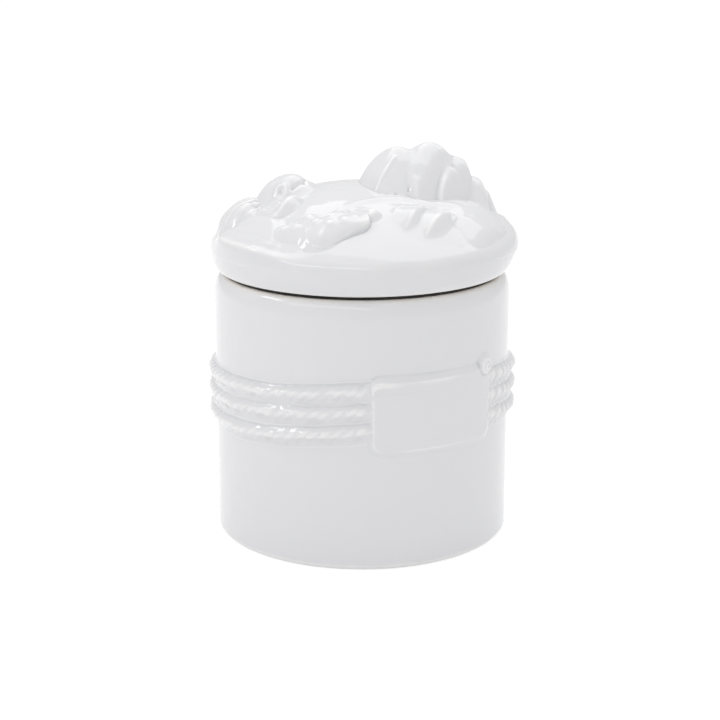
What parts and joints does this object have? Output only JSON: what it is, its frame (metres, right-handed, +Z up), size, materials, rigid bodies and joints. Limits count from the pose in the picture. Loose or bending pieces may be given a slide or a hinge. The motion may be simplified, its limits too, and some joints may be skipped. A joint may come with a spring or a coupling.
{
  "type": "candy jar",
  "caption": "Round white glazed ceramic candy jar with rope mouldings, a blank plaque and a lift-off domed lid that carries sea shells and starfish in relief.",
  "frame": {"origin": "middle of the foot ring, on the surface that the jar stands on", "axes": "+Z up along the jar's axis, -Y out of the middle of the plaque, +X to the right of a viewer who faces the plaque"},
  "size_m": [0.121, 0.121, 0.1517],
  "materials": {
    "jar_glaze": "glossy white glaze",
    "lid_glaze": "glossy white glaze",
    "seal_silicone": "matt silicone"
  },
  "bodies": {
    "jar": {"jar_body": "jar_glaze", "rope_upper": "jar_glaze", "rope_middle": "jar_glaze", "rope_lower": "jar_glaze", "name_plaque": "jar_glaze"},
    "seal": {"seal_ring": "seal_silicone"},
    "lid": {"lid_cap": "lid_glaze", "fluted_shell_knob": "lid_glaze", "starfish": "lid_glaze", "small_starfish": "lid_glaze", "whelk_shell": "lid_glaze", "moon_shell": "lid_glaze", "cockle_shell": "lid_glaze", "rim_shell": "lid_glaze", "turban_shell": "lid_glaze", "scallop_shell": "lid_glaze", "spindle_shell": "lid_glaze"}
  },
  "joints": [
    {"name": "lid_lift", "type": "slide", "parent": "jar", "child": "seal", "axis": [0, 0, 1], "range_m": [0, 0.12]},
    {"name": "lid_turn", "type": "hinge", "parent": "seal", "child": "lid", "pos_m": [0, 0, 0.104], "axis": [0, 0, 1], "continuous": true}
  ]
}
